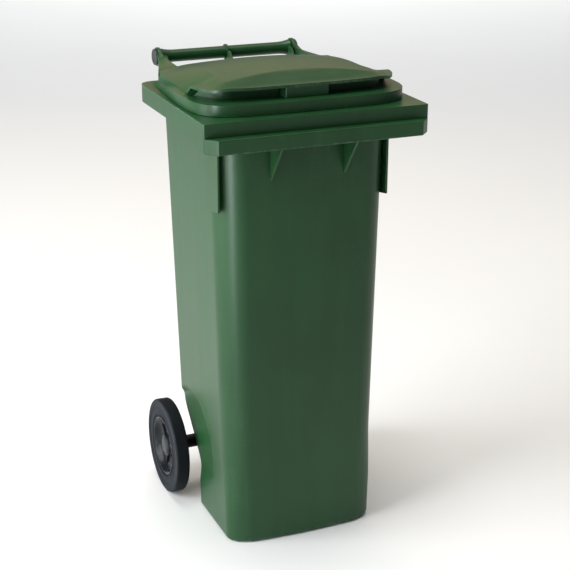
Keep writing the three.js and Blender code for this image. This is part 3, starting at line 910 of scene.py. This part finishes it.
wheel = {
    "radius": (tyreHigh.z - tyreLow.z) / 2,
    "outer": tyreHigh.x,
    "inner": tyreLow.x,
    "seat": 0.0632,
    "innerRound": 0.0045,
    "outerRound": 0.0035,
    "around": 128,
    "ribs": 12,
    "ribSize": (0.006, 0.0024, 0.031),
    "ribReach": 0.0395,
    "ribTurn": 12,
}


def tyreShape():
    outer, inner, radius, seat = wheel["outer"], wheel["inner"], wheel["radius"], wheel["seat"]
    innerRound, outerRound = wheel["innerRound"], wheel["outerRound"]
    profile = [(seat, inner + 0.003), (seat + 0.009, inner + 0.0005), (0.083, inner), (0.0835, inner + 0.0006)]
    profile += [(0.094, inner + 0.0002)]
    for step in range(7):
        turn = math.radians(15 * step)
        reach = radius - innerRound + innerRound * math.sin(turn)
        profile.append((reach, inner + innerRound - innerRound * math.cos(turn)))
    profile += [(radius, inner + 0.01), (radius, (inner + outer) / 2), (radius, outer - 0.01)]
    for step in range(7):
        turn = math.radians(90 - 15 * step)
        reach = radius - outerRound + outerRound * math.sin(turn)
        profile.append((reach, outer - outerRound + outerRound * math.cos(turn)))
    profile += [(0.0845, outer - 0.0003), (0.0838, outer - 0.0011), (0.0825, outer - 0.0011)]
    profile += [(0.0735, outer - 0.0008), (0.0715, outer - 0.0006), (0.0708, outer)]
    profile += [(0.0688, outer), (0.0682, outer - 0.0022), (0.066, outer - 0.0024), (seat, outer - 0.0024)]
    return turnedShape(profile, axleY, axleZ, wheel["around"])


def hubShape():
    outer, inner = wheel["outer"] - 0.002, wheel["inner"] + 0.002
    rim = wheel["seat"] - 0.0002
    profile = [
        (0.014, 0.1707), (0.0175, 0.1707), (0.0175, 0.182), (rim - 0.006, 0.184), (rim - 0.006, inner),
        (rim, inner), (rim, outer - 0.0005), (rim - 0.001, outer + 0.0012), (rim - 0.0026, outer + 0.0014),
        (rim - 0.0038, outer + 0.0006), (rim - 0.0062, outer - 0.0012), (rim - 0.0082, outer - 0.006),
        (0.049, outer - 0.0105), (0.043, outer - 0.0125), (0.034, outer - 0.0135), (0.0265, outer - 0.012),
        (0.0236, outer - 0.0085), (0.0225, outer - 0.0045), (0.0216, outer - 0.0038), (0.0194, outer - 0.004),
        (0.0193, 0.1902), (0.014, 0.1902),
    ]
    bm = turnedShape(profile, axleY, axleZ, wheel["around"])
    # cast-in ribs, by turns on the outer and the inner face of the dish
    for step in range(wheel["ribs"]):
        rib = bmesh.new()
        bmesh.ops.create_cube(rib, size=1.0)
        bmesh.ops.scale(rib, verts=rib.verts[:], vec=wheel["ribSize"])
        place = (0.1802 if step % 2 else outer - 0.0118, 0, wheel["ribReach"])
        bmesh.ops.translate(rib, verts=rib.verts[:], vec=place)
        turn = Matrix.Rotation(math.radians(360 / wheel["ribs"] * step + wheel["ribTurn"]), 3, "X")
        bmesh.ops.rotate(rib, verts=rib.verts[:], cent=(0, 0, 0), matrix=turn)
        bmesh.ops.translate(rib, verts=rib.verts[:], vec=(0, axleY, axleZ))
        joinInto(bm, rib)
    return bm


# profiles of the turned parts on the right side, each point a radius and a place along the axle
smallParts = {
    "hub_cap": [
        (0.0, 0.2014), (0.006, 0.2014), (0.0135, 0.2011), (0.0165, 0.2003), (0.0186, 0.1988),
        (0.019, 0.1974), (0.019, 0.1906), (0.0168, 0.1906), (0.0168, 0.1974), (0.0, 0.1974)],
    "hub_bush": [(0.01035, 0.1707), (0.01365, 0.1707), (0.01365, 0.19), (0.01035, 0.19)],
    "inner_washer": [(0.01035, 0.16835), (0.017, 0.16835), (0.017, 0.17035), (0.01035, 0.17035)],
    "outer_washer": [(0.01035, 0.19035), (0.015, 0.19035), (0.015, 0.19235), (0.01035, 0.19235)],
    "retaining_clip": [(0.0103, 0.1926), (0.0135, 0.1926), (0.0135, 0.194), (0.0103, 0.194)],
    "spacer_sleeve": [
        (0.01035, 0.104), (0.014, 0.104), (0.014, 0.135), (0.0136, 0.1355), (0.0136, 0.1375),
        (0.014, 0.138), (0.014, 0.168), (0.01035, 0.168)],
}


def hingePinShape():
    start, face, end = pinLow.x, lidDetail["armOuter"] + 0.0004, pinHigh.x
    profile = [
        (0.0, start), (0.0055, start), (0.007, start + 0.002), (0.007, face), (0.0155, face),
        (0.0163, face + 0.0008), (0.0165, face + 0.002), (0.0165, end - 0.0016), (0.0158, end - 0.0004),
        (0.0148, end), (0.0128, end), (0.0122, end - 0.0008), (0.007, end - 0.0008), (0.0, end - 0.0006)]
    return turnedShape(profile, hingeY, hingeZ, 64)


def axleShape():
    half, radius, ease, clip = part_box("axle")[1].x, 0.01, 0.0015, 0.1926
    profile = [(0.0, -half), (radius - ease, -half), (radius, ease - half)]
    profile += [(radius, x) for x in (-clip, -0.1, 0.0, 0.1, clip)]
    profile += [(radius, half - ease), (radius - ease, half), (0.0, half)]
    return turnedShape(profile, axleY, axleZ, 48)


# shapes are made for the right side and mirrored for the left
def sided(bm, side):
    if side == "left":
        bmesh.ops.scale(bm, verts=bm.verts[:], vec=(-1, 1, 1))
        bmesh.ops.reverse_faces(bm, faces=bm.faces[:])
    return bm


bodyPlastic = plasticFinish("bodyPlastic", plasticLook, bodyEdges)
lidPlastic = plasticFinish("lidPlastic", plasticLook, lidEdges)
rubber = rubberFinish(rubberLook)
hubPlastic = smallPartFinish("hubPlastic", color(0.005, 0.0065, 0.009), color(0.02, 0.024, 0.03), 0.27)
capPlastic = smallPartFinish("capPlastic", color(0.028, 0.032, 0.038), color(0.07, 0.078, 0.088), 0.42)
pinPlastic = smallPartFinish("pinPlastic", color(0.035, 0.037, 0.036), color(0.09, 0.09, 0.088), 0.5)
blackPlastic = smallPartFinish("blackPlastic", color(0.006, 0.006, 0.007), color(0.035, 0.035, 0.035), 0.42)
axleCoat = smallPartFinish("axleCoat", color(0.01, 0.01, 0.011), color(0.06, 0.06, 0.06), 0.35)
zincSteel = smallPartFinish("zincSteel", color(0.5, 0.51, 0.52), color(0.32, 0.31, 0.29), 0.35, 1.0)
print("materials made")

plasticSlot = "body_plastic"
wall = bodyRim["wall"]
makePiece(tubShell(), "tub", bodyPlastic, "container", plasticSlot, ["body"], wall=wall, even=False)
makePiece(rimShell(), "rim", bodyPlastic, "container", plasticSlot, wall=wall, bevel=0.0018)
makePiece(lipShell(), "front_lip", bodyPlastic, "container", plasticSlot, wall=wall, bevel=0.0018)
makePiece(bodyDetails(), "gussets_and_fins", bodyPlastic, "container", plasticSlot, bevel=0.0009)
makePiece(axleWebs(), "axle_webs", bodyPlastic, "container", plasticSlot, bevel=0.0009)
makePiece(handleShape(), "handle", bodyPlastic, "container", plasticSlot, bevel=0.0009)
print("body made")

wall = lid["wall"]
makePiece(lidShell(), "lid_shell", lidPlastic, "lid", "lid_plastic", ["lid"], wall=wall, bevel=0.0014)
makePiece(gripBlock(), "grip_block", lidPlastic, "lid", "lid_plastic", bevel=0.0026, segments=4)
makePiece(lidArms(), "lid_arms", lidPlastic, "lid", "lid_plastic", bevel=0.0012)
print("lid made")

partFinish = {
    "hub_cap": (capPlastic, "cap_plastic"),
    "hub_bush": (blackPlastic, "black_plastic"),
    "inner_washer": (zincSteel, "washer_steel"),
    "outer_washer": (zincSteel, "washer_steel"),
    "retaining_clip": (zincSteel, "washer_steel"),
    "spacer_sleeve": (blackPlastic, "black_plastic"),
}
turning = ("hub_cap", "hub_bush")
for side in ("left", "right"):
    wheelBody = "wheel_" + side
    makePiece(sided(tyreShape(), side), "tread_" + side, rubber, wheelBody, "tyre_rubber", ["tyre_" + side])
    makePiece(sided(hubShape(), side), "dished_hub_" + side, hubPlastic, wheelBody, "hub_plastic",
              ["wheel_hub_" + side], bevel=0.0004, segments=2)
    for part, profile in smallParts.items():
        finish, slotName = partFinish[part]
        rides = wheelBody if part in turning else "container"
        turned = sided(turnedShape(profile, axleY, axleZ, 64), side)
        makePiece(turned, f"turned_{part}_{side}", finish, rides, slotName, [f"{part}_{side}"],
                  bevel=0.0003, segments=2)
    makePiece(sided(hingePinShape(), side), "hinge_plug_" + side, pinPlastic, "container", "pin_plastic",
              ["hinge_pin_" + side])
makePiece(axleShape(), "axle_bar", axleCoat, "container", "axle_steel", ["axle"])
print("wheels, axle and pins made")

view = {
    "place": (-1.01724, -2.48681, 1.46018),
    "azimuth": -22.92,
    "elevation": 20.21,
    "roll": 0.28,
    "lens": 89.07,
}


def makeCamera():
    camera = bpy.data.cameras.new("camera")
    camera.lens = view["lens"]
    camera.sensor_width = 36
    camera.clip_end = 100
    holder = bpy.data.objects.new("camera", camera)
    bpy.context.scene.collection.objects.link(holder)
    turn = Matrix.Rotation(math.radians(view["azimuth"]), 4, "Z")
    tilt = Matrix.Rotation(math.radians(90 - view["elevation"]), 4, "X")
    roll = Matrix.Rotation(math.radians(view["roll"]), 4, "Z")
    holder.matrix_world = Matrix.Translation(view["place"]) @ turn @ tilt @ roll
    bpy.context.scene.camera = holder


lamps = {
    "sideBox": {"kind": "AREA", "place": (-3.2, -0.2, 1.7), "aim": (0, 0, 0.5), "size": (2.6, 3.0),
                "power": 188, "tint": (0.97, 0.99, 1.0)},
    "window": {"kind": "AREA", "place": (-1.75, -1.45, 0.42), "aim": (0, 0, 0.5), "size": (0.36, 0.8),
               "power": 30, "tint": (0.9, 0.98, 1.0), "lightsDiffuse": False},
    "topBox": {"kind": "AREA", "place": (0.3, 0.6, 3.4), "aim": (0, 0, 0.5), "size": (2.6, 2.2),
               "power": 28, "tint": (1.0, 0.88, 0.7)},
    "warmCard": {"kind": "AREA", "place": (1.15, 2.9, 2.15), "aim": (0, 0, 0.9), "size": (3.0, 1.4),
                 "power": 9, "tint": (1.0, 0.72, 0.42)},
    "farFloor": {"kind": "AREA", "place": (3.4, 8.0, 3.4), "aim": (3.4, 8.01, 0), "size": (6.0, 5.0),
                 "power": 150, "tint": (1.0, 1.0, 1.0), "shines": False},
    "overhead": {"kind": "SUN", "place": (0, 0, 5), "aim": (0.0, 0.02, 0), "angle": 30,
                 "power": 1.3, "tint": (1.0, 1.0, 1.0)},
}
skyStrength = 0.18


def makeLamps():
    for name, lamp in lamps.items():
        light = bpy.data.lights.new(name, lamp["kind"])
        if lamp["kind"] == "SUN":
            light.angle = math.radians(lamp["angle"])
        else:
            light.shape = "RECTANGLE"
            light.size, light.size_y = lamp["size"]
        light.energy = lamp["power"]
        light.color = lamp["tint"]
        holder = bpy.data.objects.new(name, light)
        holder.visible_camera = False
        holder.visible_diffuse = lamp.get("lightsDiffuse", True)
        holder.visible_glossy = lamp.get("shines", True)
        bpy.context.scene.collection.objects.link(holder)
        aim = Vector(lamp["aim"]) - Vector(lamp["place"])
        turn = aim.to_track_quat("-Z", "Y").to_matrix().to_4x4()
        holder.matrix_world = Matrix.Translation(lamp["place"]) @ turn
    world = bpy.data.worlds.new("studio")
    world.use_nodes = True
    background = world.node_tree.nodes["Background"]
    background.inputs["Color"].default_value = (0.93, 0.96, 1.0, 1.0)
    background.inputs["Strength"].default_value = skyStrength
    bpy.context.scene.world = world
    bpy.context.scene.view_settings.view_transform = "Standard"


def makeFloor():
    bm = bmesh.new()
    bmesh.ops.create_grid(bm, x_segments=8, y_segments=8, size=20)
    mesh = bpy.data.meshes.new("floor")
    bm.to_mesh(mesh)
    bm.free()
    mesh.materials.append(floorFinish())
    floor = bpy.data.objects.new("floor", mesh)
    bpy.context.scene.collection.objects.link(floor)


makeCamera()
makeLamps()
makeFloor()
print("studio made")
